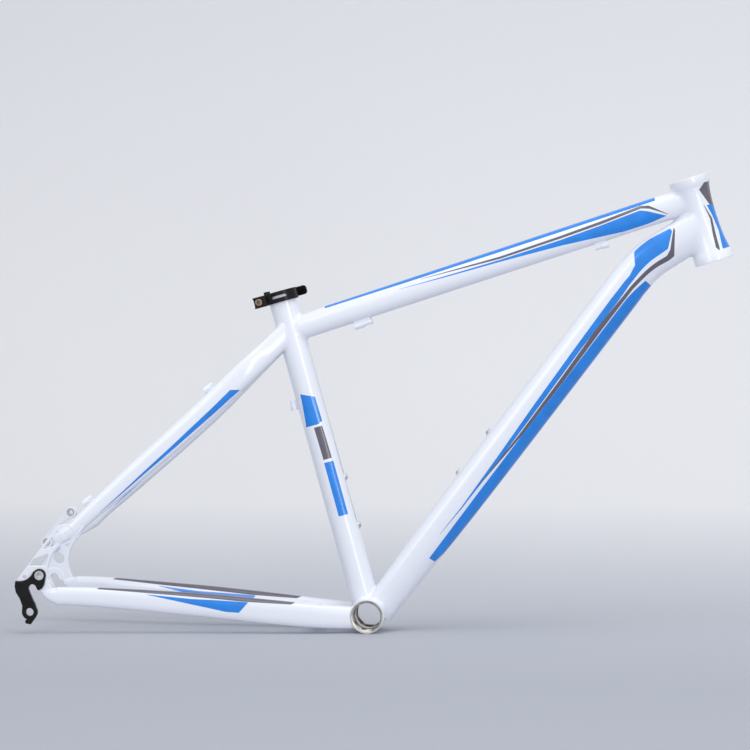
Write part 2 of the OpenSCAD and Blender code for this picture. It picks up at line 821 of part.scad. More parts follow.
module seat_collar() {
    lip = 1.2;
    window_h = 3.4;
    color(black) at_seat_tube(collar_low) difference() {
        union() {
            cylinder(r = collar_r, h = collar_h);
            // two ears behind, one on each side of the gap
            for (side = [right, left]) mirror([0, side < 0 ? 1 : 0, 0]) {
                translate([-ear_back, ear_gap / 2, 0]) cube([ear_back - 12, ear_w, collar_h]);
                // lug on the shoulder of the ear
                translate([-16.5, ear_gap / 2 + ear_w / 2, 0]) cylinder(r = 4, h = collar_h + 3.4);
            }
        }
        // bore, with a lip that rests on the tube's end
        translate([0, 0, -1]) cylinder(r = seat_tube_r + clamp_fit, h = seat_tube_length - collar_low + 1 + eps);
        translate([0, 0, -1]) cylinder(r = seat_tube_r - lip, h = collar_h + 10);
        // gap between the ears
        translate([-ear_back - 1, -ear_gap / 2, -1]) cube([ear_back + 1, ear_gap, collar_h + 10]);
        // hole for the bolt
        translate([-skewer_back, 0, collar_h / 2]) rotate([90, 0, 0])
            cylinder(r = skewer_r + 0.2, h = 60, center = true);
        // pocket for the adjusting nut, open to the back
        translate([-skewer_back, -ear_outer + 5, collar_h / 2]) rotate([90, 0, 0]) cylinder(r = nut_r + 0.5, h = 8);
        translate([-ear_back - 1, -ear_outer - 1, collar_h / 2 - nut_r - 0.5])
            cube([ear_back + 1 - skewer_back, 6, 2 * nut_r + 1]);
        // lightening windows on both sides
        for (side = [right, left]) mirror([0, side < 0 ? 1 : 0, 0])
            translate([-9, 8, collar_h / 2 + 0.3 - window_h / 2]) {
                cube([17, 20, window_h]);
                for (x = [0, 17]) translate([x, 0, window_h / 2]) rotate([-90, 0, 0])
                    cylinder(r = window_h / 2, h = 20);
            }
    }
}

module collar_skewer() {
    color(steel) at_seat_tube(collar_low) translate([-skewer_back, 0, collar_h / 2]) rotate([90, 0, 0])
        translate([0, 0, -pivot_y + barrel_r - 0.6]) cylinder(r = skewer_r, h = pivot_y - barrel_r + 0.6 + ear_outer + 1.5);
}

module pivot_barrel() {
    color(steel) at_seat_tube(collar_low) difference() {
        translate([-skewer_back, pivot_y, lever_low]) cylinder(r = barrel_r, h = lever_h);
        translate([-skewer_back, pivot_y - barrel_r + 0.6, collar_h / 2]) rotate([90, 0, 0])
            cylinder(r = skewer_r, h = 10);
    }
}

module cam_washer() {
    color(black) at_seat_tube(collar_low) difference() {
        translate([-skewer_back, ear_outer + washer_t, collar_h / 2]) rotate([90, 0, 0])
            cylinder(r = 6.4, h = washer_t);
        translate([-skewer_back, 0, collar_h / 2]) rotate([90, 0, 0])
            cylinder(r = skewer_r + 0.1, h = 60, center = true);
    }
}

// Plan of the lever: a round cam at the pivot and a slightly bowed arm
module lever_plan() {
    arm_bow = 95;
    arm_t = 6;
    sag = 7.5;
    translate([0, -cam_throw]) circle(r = cam_r);
    difference() {
        translate([lever_reach * 0.47, sag - arm_bow]) circle(r = arm_bow, $fn = 160);
        translate([lever_reach * 0.47, sag - arm_bow]) circle(r = arm_bow - arm_t, $fn = 160);
        translate([-200, -200]) square([200 + 1, 400]);
        translate([lever_reach, -200]) square([200, 400]);
        translate([-200, -200]) square([400, 190]);
    }
}

module quick_release_lever() {
    color(black) at_seat_tube(collar_low) translate([-skewer_back, pivot_y, lever_low]) difference() {
        linear_extrude(lever_h) lever_plan();
        // bore for the pivot barrel
        translate([0, 0, -1]) cylinder(r = barrel_r + clamp_fit, h = lever_h + 2);
        // fork: the bolt sweeps through this slot as the lever swings
        translate([0, 0, fork_low]) difference() {
            translate([-12, -12, 0]) cube([24, 24, fork_h]);
            translate([barrel_r + 3.2, -12, -1]) cube([24, 24, fork_h + 2]);
        }
        // rounded tip
        tip_r = 4;
        for (flip = [0, 1]) translate([lever_reach - tip_r, 0, flip * lever_h]) mirror([0, 0, flip])
            difference() {
                translate([0, -30, -1]) cube([tip_r + 1, 60, tip_r + 1]);
                translate([0, -31, tip_r]) rotate([-90, 0, 0]) cylinder(r = tip_r, h = 62);
            }
    }
}

module adjusting_nut() {
    nut_l = 7.5;
    color("tan") at_seat_tube(collar_low) difference() {
        translate([-skewer_back, -ear_outer + 5 - 0.1, collar_h / 2]) rotate([90, 0, 0]) cylinder(r = nut_r, h = nut_l);
        translate([-skewer_back, 0, collar_h / 2]) rotate([90, 0, 0])
            cylinder(r = skewer_r + clamp_fit, h = 60, center = true);
        // screwdriver slot
        translate([-skewer_back - 0.7, -ear_outer + 5 - nut_l - 1, collar_h / 2 - 8]) cube([1.4, 2.2, 16]);
    }
}

head_tube();
top_tube();
down_tube();
seat_tube();
bottom_bracket_shell();
right_chainstay();
left_chainstay();
chainstay_bridge();
right_seatstay();
left_seatstay();
seatstay_bridge();
right_dropout();
left_dropout();
disc_brake_mount();
derailleur_hanger();
hanger_bolt();
hanger_nut();
top_tube_rear_cable_stop();
top_tube_front_cable_stop();
seatstay_upper_cable_stop();
seatstay_lower_cable_stop();
seat_tube_cable_stop();
down_tube_bottle_bosses();
down_tube_bottle_bolts();
seat_tube_bottle_bosses();
seat_tube_bottle_bolts();
seat_collar();
collar_skewer();
pivot_barrel();
cam_washer();
quick_release_lever();
adjusting_nut();
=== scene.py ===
"""White aluminium mountain-bike frame with painted stripes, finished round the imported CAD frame.

The formed tubes are rebuilt as fine, smooth skins on the centre lines that the CAD uses, and the joints
get weld fillets. The exact CAD parts keep their shape, with rounded edges and their own finishes.
Lengths are in millimetres until a mesh is made; angles are in degrees.
"""

import math

import bmesh
import bpy
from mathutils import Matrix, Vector, noise
from mathutils.bvhtree import BVHTree


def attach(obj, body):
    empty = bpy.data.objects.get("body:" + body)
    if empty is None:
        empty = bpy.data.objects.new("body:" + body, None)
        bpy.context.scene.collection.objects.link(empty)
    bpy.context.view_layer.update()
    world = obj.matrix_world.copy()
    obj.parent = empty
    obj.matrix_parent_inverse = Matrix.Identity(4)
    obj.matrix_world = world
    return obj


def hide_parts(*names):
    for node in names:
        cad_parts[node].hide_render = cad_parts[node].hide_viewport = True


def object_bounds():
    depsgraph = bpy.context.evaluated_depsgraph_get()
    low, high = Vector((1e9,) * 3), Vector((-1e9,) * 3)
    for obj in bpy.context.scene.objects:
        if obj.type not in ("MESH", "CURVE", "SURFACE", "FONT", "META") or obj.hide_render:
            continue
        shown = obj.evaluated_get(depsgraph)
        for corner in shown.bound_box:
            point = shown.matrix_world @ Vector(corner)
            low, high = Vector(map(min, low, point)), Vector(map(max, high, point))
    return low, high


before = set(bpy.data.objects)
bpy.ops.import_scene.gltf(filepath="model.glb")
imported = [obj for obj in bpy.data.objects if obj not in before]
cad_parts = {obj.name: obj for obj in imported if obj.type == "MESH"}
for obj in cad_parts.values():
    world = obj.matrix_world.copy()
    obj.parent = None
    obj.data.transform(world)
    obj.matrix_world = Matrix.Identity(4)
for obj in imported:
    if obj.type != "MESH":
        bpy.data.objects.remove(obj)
cad_low, cad_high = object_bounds()

MM = 0.001
RIGHT = -1
LEFT = 1

# Main dimensions, the same as the CAD's
SEAT_TILT = 15.5
HEAD_TILT = 18.0
HEAD_FOOT = Vector((440.0, 0.0, 453.0))
HEAD_LENGTH = 110.0
HEAD_RING_R = 25.3
HEAD_RING_H = 10.0
HEAD_WAIST_R = 20.3
CUP_BORE_R = 22.0
CUP_BORE_DEPTH = 14.0
STEERER_BORE_R = 17.0
SEAT_TUBE_R = 17.45
SHELL_R = 21.5
SHELL_BORE_R = 17.3
SHELL_HALF = 34.0
AXLE_X = -423.386
AXLE_Z = 37.0
DOWN_TUBE_ANGLE = 52.8
DOWN_TUBE_ROOT_X = 7.7
DISC_LUGS = [(AXLE_X - 8.0, AXLE_Z + 47.0), (AXLE_X + 24.1, AXLE_Z + 86.63)]
DISC_LUG_BARE_R = 5.2
DISC_LUG_FACE_Y = 56.6
CROWN_WELD_EXTRA = 13.0


# ---------------------------------------------------------------------------------------------
# Camera
# ---------------------------------------------------------------------------------------------
def make_camera():
    data = bpy.data.cameras.new("camera")
    data.sensor_width = 36.0
    data.lens = 148.1
    data.clip_end = 100.0
    camera = bpy.data.objects.new("camera", data)
    bpy.context.scene.collection.objects.link(camera)
    camera.location = (0.363, -3.937, 0.445)
    target = Vector((0.00756, 0.0, 0.30743))
    camera.rotation_euler = (target - camera.location).to_track_quat("-Z", "Y").to_euler()
    bpy.context.scene.camera = camera


# ---------------------------------------------------------------------------------------------
# Formed tubes: lists of stations [x, y, z, half width, half height] with a smooth curve through them.
# The stations repeat the CAD's, and most of those also started from a separate measuring program.
# ---------------------------------------------------------------------------------------------
def seat_axis(s):
    tilt = math.radians(SEAT_TILT)
    return Vector((-s * math.sin(tilt), 0.0, s * math.cos(tilt)))


def head_axis(s):
    tilt = math.radians(HEAD_TILT)
    return HEAD_FOOT + Vector((-s * math.sin(tilt), 0.0, s * math.cos(tilt)))


def down_tube_station(s, half_w, half_h):
    angle = math.radians(DOWN_TUBE_ANGLE)
    return [DOWN_TUBE_ROOT_X + s * math.cos(angle), 0.0, s * math.sin(angle), half_w, half_h]


def station_at(rows, u):
    """The row at position u on a smooth curve through the stations."""
    i = min(int(u), len(rows) - 2)
    t = u - i
    before = rows[max(i - 1, 0)]
    after = rows[min(i + 2, len(rows) - 1)]
    return [
        0.5 * (2 * b + (c - a) * t + (2 * a - 5 * b + 4 * c - d) * t * t + (3 * b - a - 3 * c + d) * t ** 3)
        for a, b, c, d in zip(before, rows[i], rows[i + 1], after)
    ]


def bulge(c, power):
    return math.copysign(abs(c) ** power, c)


class FormedTube:
    """A tube swept through its stations, with rounded oval sections square to the curve."""

    def __init__(self, rows, power=1.0, ridge=0.0):
        self.rows = rows
        self.power = power
        self.ridge = ridge
        self.last = len(rows) - 1
        self.lengths = [0.0]
        steps = 40 * self.last
        previous = station_at(rows, 0)
        for k in range(1, steps + 1):
            row = station_at(rows, self.last * k / steps)
            self.lengths.append(self.lengths[-1] + math.hypot(row[0] - previous[0], row[2] - previous[2]))
            previous = row

    def heading(self, u):
        a = station_at(self.rows, max(u - 0.05, 0))
        b = station_at(self.rows, min(u + 0.05, self.last))
        return (Vector(b[:3]) - Vector(a[:3])).normalized()

    def axes(self, u):
        heading = self.heading(u)
        side = heading.cross(Vector((0, 0, 1))).normalized()
        return side, side.cross(heading)

    def offsets(self, row, angle):
        """Sideways and upwards distance from the centre line to the surface."""
        c = math.cos(math.radians(angle))
        s = math.sin(math.radians(angle))
        return row[3] * bulge(c, self.power), row[4] * bulge(s, self.power) + self.ridge * c * c

    def point(self, u, angle, scale=1.0):
        row = station_at(self.rows, u)
        side, up = self.axes(u)
        w, h = self.offsets(row, angle)
        return Vector(row[:3]) + scale * (w * side + h * up)

    def height(self, u, angle):
        return self.offsets(station_at(self.rows, u), angle)[1]

    def length_at(self, u):
        """Distance along the centre line, seen from the side."""
        position = u / self.last * (len(self.lengths) - 1)
        i = min(int(position), len(self.lengths) - 2)
        return self.lengths[i] + (self.lengths[i + 1] - self.lengths[i]) * (position - i)


def chainstay_rows(side):
    return [
        [AXLE_X + 32, side * 69.5, AXLE_Z - 10, 7, 11.5],
        [AXLE_X + 74, side * 64, AXLE_Z - 11.6, 8, 12.3],
        [AXLE_X + 140, side * 54.5, AXLE_Z - 16.5, 8.5, 13.6],
        [AXLE_X + 219, side * 45.5, AXLE_Z - 23.2, 9, 15.1],
        [AXLE_X + 298, side * 39.8, AXLE_Z - 31, 9, 15.6],
        [AXLE_X + 351, side * 35, AXLE_Z - 36, 9, 15.2],
        [AXLE_X + 390, side * 28, AXLE_Z - 38.6, 8.7, 14.6],
        [-9, side * 21.5, -2.6, 8, 14],
    ]


def seatstay_rows(side):
    return [
        [AXLE_X + 51.5, side * 69.8, AXLE_Z + 75.5, 6.5, 9.4],
        [AXLE_X + 72, side * 66, AXLE_Z + 95, 7.3, 10.2],
        [AXLE_X + 102, side * 59.5, AXLE_Z + 122, 7.8, 11.9],
        [AXLE_X + 132, side * 53.5, AXLE_Z + 149, 8, 13.1],
        [AXLE_X + 178, side * 46, AXLE_Z + 190, 8, 14.1],
        [AXLE_X + 222, side * 40, AXLE_Z + 230.5, 8, 14.5],
        [AXLE_X + 264, side * 30.5, AXLE_Z + 272, 8, 14.4],
        [AXLE_X + 293, side * 18.5, AXLE_Z + 300, 8, 14.1],
        [AXLE_X + 324, side * 8, AXLE_Z + 331, 7, 13.6],
    ]


def top_tube_rows():
    low = seat_axis(378)
    high = head_axis(84)
    middle = (low + high) / 2
    return [[*low, 15, 16], [*middle, 15.6, 16.4], [*high, 16.5, 17]]


def down_tube_rows():
    return [
        down_tube_station(6, 18, 20),
        down_tube_station(60, 21, 21.3),
        down_tube_station(150, 22.5, 24),
        down_tube_station(240, 22.5, 25),
        down_tube_station(380, 22.5, 25.3),
        down_tube_station(513, 22, 25.2),
        down_tube_station(537, 22, 25),
        [353.2, 0, 450.6, 21.5, 24.8],
        [376.5, 0, 467.4, 21, 24.8],
        [*head_axis(46.5), 20, 24.8],
    ]


# ---------------------------------------------------------------------------------------------
# Mesh building
# ---------------------------------------------------------------------------------------------
def make_object(name, points, faces, smooth_angle=None):
    """An object in metres from points in millimetres."""
    mesh = bpy.data.meshes.new(name)
    mesh.from_pydata([tuple(c * MM for c in p) for p in points], [], faces)
    mesh.validate()
    for polygon in mesh.polygons:
        polygon.use_smooth = True
    if smooth_angle is not None:
        mesh.set_sharp_from_angle(angle=math.radians(smooth_angle))
    piece = bpy.data.objects.new(name, mesh)
    bpy.context.scene.collection.objects.link(piece)
    return piece


def set_attribute(piece, name, values):
    attribute = piece.data.attributes.new(name, "FLOAT", "POINT")
    attribute.data.foreach_set("value", values)


def settle(piece, body, slot, *nodes):
    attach(piece, body)
    if nodes:
        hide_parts(*nodes)


def revolve(profile, around, place):
    """Points and faces of a closed profile [radius, height] turned about an axis.

    place(x, y, z) puts a point from the axis's own frame into the object's frame.
    """
    count = len(profile)
    points = []
    for i in range(around):
        angle = 2 * math.pi * i / around
        points += [place(r * math.cos(angle), r * math.sin(angle), z) for r, z in profile]
    faces = []
    for i in range(around):
        a = i * count
        b = (i + 1) % around * count
        for k in range(count):
            m = (k + 1) % count
            faces.append((a + k, b + k, b + m, a + m))
    return points, faces


def tilted(origin, tilt):
    """A placing function for an axis that leans back by tilt from the vertical."""
    angle = math.radians(tilt)
    forward = Vector((math.cos(angle), 0, math.sin(angle)))
    sideways = Vector((0, 1, 0))
    axis = Vector((-math.sin(angle), 0, math.cos(angle)))
    return lambda x, y, z: origin + x * forward + y * sideways + z * axis


def across_frame(x, y, z):
    """A placing function for an axis along Y."""
    return Vector((x, z, y))


def tree(*shapes):
    """One search tree over several (points, faces) shapes."""
    points, faces = [], []
    for shape_points, shape_faces in shapes:
        base = len(points)
        points += shape_points
        faces += [tuple(base + i for i in face) for face in shape_faces]
    return BVHTree.FromPolygons(points, faces)


def crossing(tube, angle, stop, u_from, u_to, steps=48):
    """Where one line of the tube's surface first meets the stop: (u, point, normal), or None."""
    before = tube.point(u_from, angle)
    for k in range(1, steps + 1):
        u = u_from + (u_to - u_from) * k / steps
        here = tube.point(u, angle)
        step = here - before
        hit, normal, _, distance = stop.ray_cast(before, step.normalized(), step.length)
        if hit is not None:
            back = (u_to - u_from) / steps * (1 - distance / step.length)
            return u - back, hit, normal
        before = here
    return None


class Skin:
    """The visible surface of a formed tube, cut to fit the parts it runs into."""

    def __init__(self, tube, around, rings, start_stop=None, end_stop=None):
        middle = tube.last / 2
        self.tube = tube
        self.around = around
        self.angles = [360 * i / around for i in range(around)]
        self.starts = [start_stop and crossing(tube, a, start_stop, middle, 0) for a in self.angles]
        self.ends = [end_stop and crossing(tube, a, end_stop, middle, tube.last) for a in self.angles]
        self.points, self.along, self.across = [], [], []
        for angle, start, end in zip(self.angles, self.starts, self.ends):
            u0 = start[0] if start else 0.0
            u1 = end[0] if end else tube.last
            for k in range(rings + 1):
                u = u0 + (u1 - u0) * k / rings
                self.points.append(tube.point(u, angle))
                self.along.append(tube.length_at(u))
                self.across.append(tube.height(u, angle))
        count = rings + 1
        self.faces = []
        for i in range(around):
            a = i * count
            b = (i + 1) % around * count
            for k in range(rings):
                self.faces.append((a + k, a + k + 1, b + k + 1, b + k))
        self.count = count

    def build(self, name, material):
        piece = make_object(name, self.points, self.faces)
        set_attribute(piece, "along", self.along)
        set_attribute(piece, "across", self.across)
        piece.data.materials.append(material)
        return piece


def weld_fillet(name, skin, hits, stop, width, towards, material, crotch=0.0):
    """A smooth weld bead where a tube's skin meets its neighbour; crotch widens it along the tube's top."""
    tube = skin.tube
    layers = 8
    shift = 0.02
    ripple_pitch = 4.2
    hollow = 0.3
    points, faces, columns = [], [], []
    travelled = 0.0
    previous = None
    for angle, hit in zip(skin.angles, hits):
        if not hit:
            columns.append(None)
            continue
        u, corner, normal = hit
        probe = tube.point(u - towards * shift, angle)
        along_tube = (probe - corner).normalized()
        row = station_at(tube.rows, u)
        outward = corner - Vector(row[:3])
        outward = (outward - outward.dot(normal) * normal).normalized()
        if previous is not None:
            travelled += (corner - previous).length
        previous = corner
        lump = 1 + 0.1 * noise.noise(corner * 0.11) + 0.05 * math.sin(travelled * 2 * math.pi / ripple_pitch)
        reach = (width + crotch * max(0.0, math.sin(math.radians(angle))) ** 8) * lump
        on_tube = corner + along_tube * reach
        on_stop = stop.find_nearest(corner + outward * reach)[0]
        belly = corner + hollow * (on_tube + on_stop - 2 * corner) * 0.5
        column = []
        for k in range(layers + 1):
            t = k / layers
            point = (1 - t) ** 2 * on_tube + 2 * t * (1 - t) * belly + t * t * on_stop
            column.append(len(points))
            points.append(point)
        columns.append(column)
    for i, column in enumerate(columns):
        other = columns[(i + 1) % len(columns)]
        if column is None or other is None:
            continue
        for k in range(layers):
            faces.append((column[k], other[k], other[k + 1], column[k + 1]))
    piece = make_object(name, points, faces)
    fix_normals(piece)
    piece.data.materials.append(material)
    return piece


def weld_ring(name, tube, u, radius, material, around=144):
    """A raised weld bead round a tube."""
    sides = 10
    sunk = 0.42
    ripple_pitch = 3.6
    heading = tube.heading(u)
    points, faces = [], []
    centre = Vector(station_at(tube.rows, u)[:3])
    travelled = 0.0
    previous = tube.point(u, 0)
    for i in range(around):
        angle = 360 * i / around
        rim = tube.point(u, angle)
        travelled += (rim - previous).length
        previous = rim
        outward = (rim - centre).normalized()
        ripple = 0.12 * math.sin(travelled * 2 * math.pi / ripple_pitch)
        r = radius * (1 + ripple + 0.1 * noise.noise(rim * 0.2))
        for k in range(sides):
            turn = 2 * math.pi * k / sides
            along = 2.8 * r * math.cos(turn)
            height = 0.6 * r * math.sin(turn) - sunk
            points.append(rim + along * heading + height * outward)
    for i in range(around):
        a = i * sides
        b = (i + 1) % around * sides
        for k in range(sides):
            m = (k + 1) % sides
            faces.append((a + k, b + k, b + m, a + m))
    piece = make_object(name, points, faces)
    fix_normals(piece)
    piece.data.materials.append(material)
    return piece


def fix_normals(piece):
    grid = bmesh.new()
    grid.from_mesh(piece.data)
    bmesh.ops.recalc_face_normals(grid, faces=grid.faces)
    grid.to_mesh(piece.data)
    grid.free()


# ---------------------------------------------------------------------------------------------
# Materials
# ---------------------------------------------------------------------------------------------
WHITE = (0.79, 0.82, 0.90)
BLUE = (0.003, 0.228, 0.78)
# painted highlight: a light blue for the shine line on the seat tube's blue decal
PAINTED_HIGHLIGHT_BLUE = (0.22, 0.50, 0.90)
GRAPHITE = (0.115, 0.105, 0.140)


class Shader:
    """A Principled material with helpers for its node tree."""

    def __init__(self, name, metallic=0.0, roughness=0.3, coat=0.0, colour=WHITE):
        self.material = bpy.data.materials.new(name)
        self.material.use_nodes = True
        self.nodes = self.material.node_tree.nodes
        self.links = self.material.node_tree.links
        self.surface = self.nodes["Principled BSDF"]
        self.surface.inputs["Base Color"].default_value = (*colour, 1)
        self.surface.inputs["Metallic"].default_value = metallic
        self.surface.inputs["Roughness"].default_value = roughness
        self.surface.inputs["Coat Weight"].default_value = coat
        self.surface.inputs["Coat Roughness"].default_value = 0.06

    def place(self):
        return self.nodes.new("ShaderNodeTexCoord").outputs["Object"]

    def value(self, operation, a, b=None):
        node = self.nodes.new("ShaderNodeMath")
        node.operation = operation
        for socket, given in zip(node.inputs, (a, b)):
            if given is None:
                continue
            if isinstance(given, (int, float)):
                socket.default_value = given
            else:
                self.links.new(given, socket)
        return node.outputs[0]

    def noise(self, scale, detail):
        node = self.nodes.new("ShaderNodeTexNoise")
        node.inputs["Scale"].default_value = scale
        node.inputs["Detail"].default_value = detail
        self.links.new(self.place(), node.inputs["Vector"])
        return node.outputs["Fac"]

    def span(self, source, low, high, start=0.0, end=1.0):
        """source from start..end mapped to low..high."""
        node = self.nodes.new("ShaderNodeMapRange")
        node.inputs["From Min"].default_value = start
        node.inputs["From Max"].default_value = end
        node.inputs["To Min"].default_value = low
        node.inputs["To Max"].default_value = high
        self.links.new(source, node.inputs["Value"])
        return node.outputs["Result"]

    def mix(self, factor, a, b):
        node = self.nodes.new("ShaderNodeMix")
        node.data_type = "RGBA"
        self.links.new(factor, node.inputs[0])
        for socket, given in ((node.inputs[6], a), (node.inputs[7], b)):
            if isinstance(given, tuple):
                socket.default_value = (*given, 1)
            else:
                self.links.new(given, socket)
        return node.outputs[2]

    def attribute(self, name):
        node = self.nodes.new("ShaderNodeAttribute")
        node.attribute_name = name
        return node.outputs["Fac"]

    def bump(self, height, strength, distance):
        node = self.nodes.new("ShaderNodeBump")
        node.inputs["Strength"].default_value = strength
        node.inputs["Distance"].default_value = distance
        self.links.new(height, node.inputs["Height"])
        self.links.new(node.outputs["Normal"], self.surface.inputs["Normal"])

    def set(self, name, source):
        self.links.new(source, self.surface.inputs[name])

    def curve(self, source, points, start, end, low, high):
        """A straight-sided curve through points (position, value)."""
        node = self.nodes.new("ShaderNodeFloatCurve")
        line = node.mapping.curves[0]
        scaled = [((s - start) / (end - start), (v - low) / (high - low)) for s, v in points]
        line.points[0].location = scaled[0]
        line.points[1].location = scaled[-1]
        for position in scaled[1:-1]:
            line.points.new(*position)
        for point in line.points:
            point.handle_type = "VECTOR"
        node.mapping.update()
        self.links.new(self.span(source, 0, 1, start, end), node.inputs["Value"])
        return self.span(node.outputs["Value"], low, high)

    def stripe(self, outline):
        """1 inside a stripe given as [(along, low edge, high edge), ...], otherwise 0."""
        floor, ceiling = -60.0, 60.0
        along = self.attribute("along")
        across = self.attribute("across")
        start, end = outline[0][0], outline[-1][0]
        low = self.curve(along, [(s, a) for s, a, b in outline], start, end, floor, ceiling)
        high = self.curve(along, [(s, b) for s, a, b in outline], start, end, floor, ceiling)
        above = self.value("GREATER_THAN", across, low)
        below = self.value("LESS_THAN", across, high)
        inside = self.value("MULTIPLY", above, below)
        begun = self.value("GREATER_THAN", along, start)
        going = self.value("LESS_THAN", along, end)
        between = self.value("MULTIPLY", begun, going)
        return self.value("MULTIPLY", inside, between)


def gloss_paint(name, stripes=()):
    """White lacquer over aluminium tube, with stripes as (colour, outline)."""
    shader = Shader(name, roughness=0.3, coat=0.45)
    cloud = shader.noise(9, 2)
    colour = shader.mix(shader.span(cloud, 0, 1, 0.3, 0.7), tuple(c * 0.975 for c in WHITE), WHITE)
    for tint, outline in stripes:
        deep = tuple(c * 0.88 for c in tint)
        fleck = shader.mix(shader.span(shader.noise(60, 2), 0, 1, 0.35, 0.65), deep, tint)
        colour = shader.mix(shader.stripe(outline), colour, fleck)
    shader.set("Base Color", colour)
    shader.set("Roughness", shader.span(shader.noise(40, 3), 0.24, 0.36))
    peel = shader.noise(420, 2)
    shader.bump(peel, 0.06, 0.0004)
    return shader.material


def anodised(name):
    shader = Shader(name, roughness=0.34, colour=(0.006, 0.006, 0.007))
    shader.surface.inputs["Specular IOR Level"].default_value = 0.22
    shader.set("Base Color", shader.mix(shader.noise(150, 4), (0.003, 0.003, 0.0035), (0.009, 0.009, 0.010)))
    shader.set("Roughness", shader.span(shader.noise(500, 3), 0.22, 0.40))
    shader.bump(shader.noise(2600, 2), 0.12, 0.0001)
    return shader.material


def machined(name, dark, light, rough_low, rough_high, scale=900):
    shader = Shader(name, metallic=1.0, roughness=rough_low, colour=light)
    shader.set("Base Color", shader.mix(shader.span(shader.noise(120, 4), 0, 1, 0.3, 0.7), dark, light))
    shader.set("Roughness", shader.span(shader.noise(scale, 3), rough_low, rough_high))
    shader.bump(shader.noise(scale, 2), 0.15, 0.0001)
    return shader.material


def part_bare(name, centres, radius, face_y):
    """White lacquer, left off on round machined faces below face_y."""
    shader = Shader(name, roughness=0.3)
    split = shader.nodes.new("ShaderNodeSeparateXYZ")
    shader.links.new(shader.place(), split.inputs[0])
    bare = None
    for x, z in centres:
        flat = shader.nodes.new("ShaderNodeCombineXYZ")
        shader.links.new(split.outputs["X"], flat.inputs["X"])
        shader.links.new(split.outputs["Z"], flat.inputs["Z"])
        gap = shader.nodes.new("ShaderNodeVectorMath")
        gap.operation = "DISTANCE"
        shader.links.new(flat.outputs[0], gap.inputs[0])
        gap.inputs[1].default_value = (x * MM, 0, z * MM)
        disc = shader.value("LESS_THAN", gap.outputs["Value"], radius * MM)
        bare = disc if bare is None else shader.value("ADD", bare, disc)
    bare = shader.value("MULTIPLY", bare, shader.value("LESS_THAN", split.outputs["Y"], face_y * MM))
    cloud = shader.span(shader.noise(120, 4), 0, 1, 0.3, 0.7)
    metal = shader.mix(cloud, (0.42, 0.40, 0.37), (0.62, 0.60, 0.56))
    lacquer = shader.mix(cloud, tuple(c * 0.97 for c in WHITE), WHITE)
    shader.set("Base Color", shader.mix(bare, lacquer, metal))
    shader.set("Metallic", bare)
    shader.set("Roughness", shader.span(shader.noise(500, 3), 0.26, 0.42))
    return shader.material


def stage_paper(name, floor_z):
    """Grey-blue table that turns into a pale wall as the sweep rises, with painted shade that darkens the
    table towards the camera; it can be seen through from behind.
    """
    # painted shade: the darker table colour used near the camera
    shaded_near_table = (0.405, 0.425, 0.485)
    far_table = (0.52, 0.54, 0.59)
    wall = (0.69, 0.70, 0.725)
    rise = 100.0
    shader = Shader(name, roughness=0.9)
    shader.surface.inputs["Specular IOR Level"].default_value = 0.1
    height = shader.nodes.new("ShaderNodeSeparateXYZ")
    shader.links.new(shader.place(), height.inputs[0])
    level = shader.span(height.outputs["Z"], 0, 1, (floor_z + 1) * MM, (floor_z + rise) * MM)
    # painted shade: the table is darker near the camera and lighter far back, a fall of light put into its
    # colour
    shade_towards_camera = shader.span(height.outputs["Y"], 0, 1, -0.5, 0.45)
    table = shader.mix(shade_towards_camera, shaded_near_table, far_table)
    # random large blotches that pull the table towards its darker, painted-shade colour
    mottle = shader.span(shader.noise(1.3, 2), 0, 1, 0.3, 0.7)
    mottled_shaded_table = shader.mix(shader.span(mottle, 0, 0.25), table, shaded_near_table)
    shader.set("Base Color", shader.mix(level, mottled_shaded_table, wall))
    geometry = shader.nodes.new("ShaderNodeNewGeometry")
    clear = shader.nodes.new("ShaderNodeBsdfTransparent")
    either = shader.nodes.new("ShaderNodeMixShader")
    shader.links.new(geometry.outputs["Backfacing"], either.inputs[0])
    shader.links.new(shader.surface.outputs["BSDF"], either.inputs[1])
    shader.links.new(clear.outputs["BSDF"], either.inputs[2])
    shader.links.new(either.outputs[0], shader.nodes["Material Output"].inputs["Surface"])
    return shader.material


# Stripes as (distance along the tube, lower edge, upper edge), both from the tube's centre line.
# These corners were not designed here: a separate measuring program worked most of them out, and
# some were then changed by hand.
TOP_TUBE_STRIPES = [
    (BLUE, [(52, 13.2, 40), (153, 12.2, 40), (288, 11.8, 40), (422, 12.0, 40), (494, 12.4, 40)]),
    (GRAPHITE, [(180, 10.3, 10.7), (285, 3.4, 6.3), (365, 4.0, 7.2), (420, 5.2, 9.0), (474, 8.4, 12.0),
                (484, 4.9, 9.2), (504, -9.2, -8.6)]),
    (BLUE, [(150, 6.4, 6.8), (218, 2.6, 4.3), (284, -0.2, 2.3), (364, -4.9, 2.3), (418, -10.0, 3.9),
            (444, -12.6, 5.3), (472, -12.8, 6.6), (481, -12.4, 2.4), (501, -10.4, -9.8)]),
]
DOWN_TUBE_STRIPES = [
    (BLUE, [(130, -4.2, -3.8), (173, -6.2, -4.6), (252, -6.7, -2.2), (338, -5.4, 1.2), (425, -3.6, 3.6),
            (500, -4.2, 5.0), (537, -2.8, 4.4), (551, -2.2, 8.0), (561, -2.0, 20.8), (583, -1.8, 21.6),
            (595, -1.4, 20.6), (611, 15.0, 19.4)]),
    (GRAPHITE, [(208, -6.0, -5.4), (291, -10.4, -7.0), (376, -10.8, -5.8), (458, -9.6, -3.4),
                (521, -9.6, -5.2), (560, -12.2, -7.0), (589, -14.4, -8.0), (597, -13.4, -3.8),
                (615, 14.5, 18.2)]),
    (BLUE, [(96, -20, -11.6), (205, -40, -10.6), (290, -40, -10.4), (373, -40, -10.9), (457, -40, -10.6),
            (512, -40, -10.6), (541, -40, -14.4), (545, -23, -15)]),
]
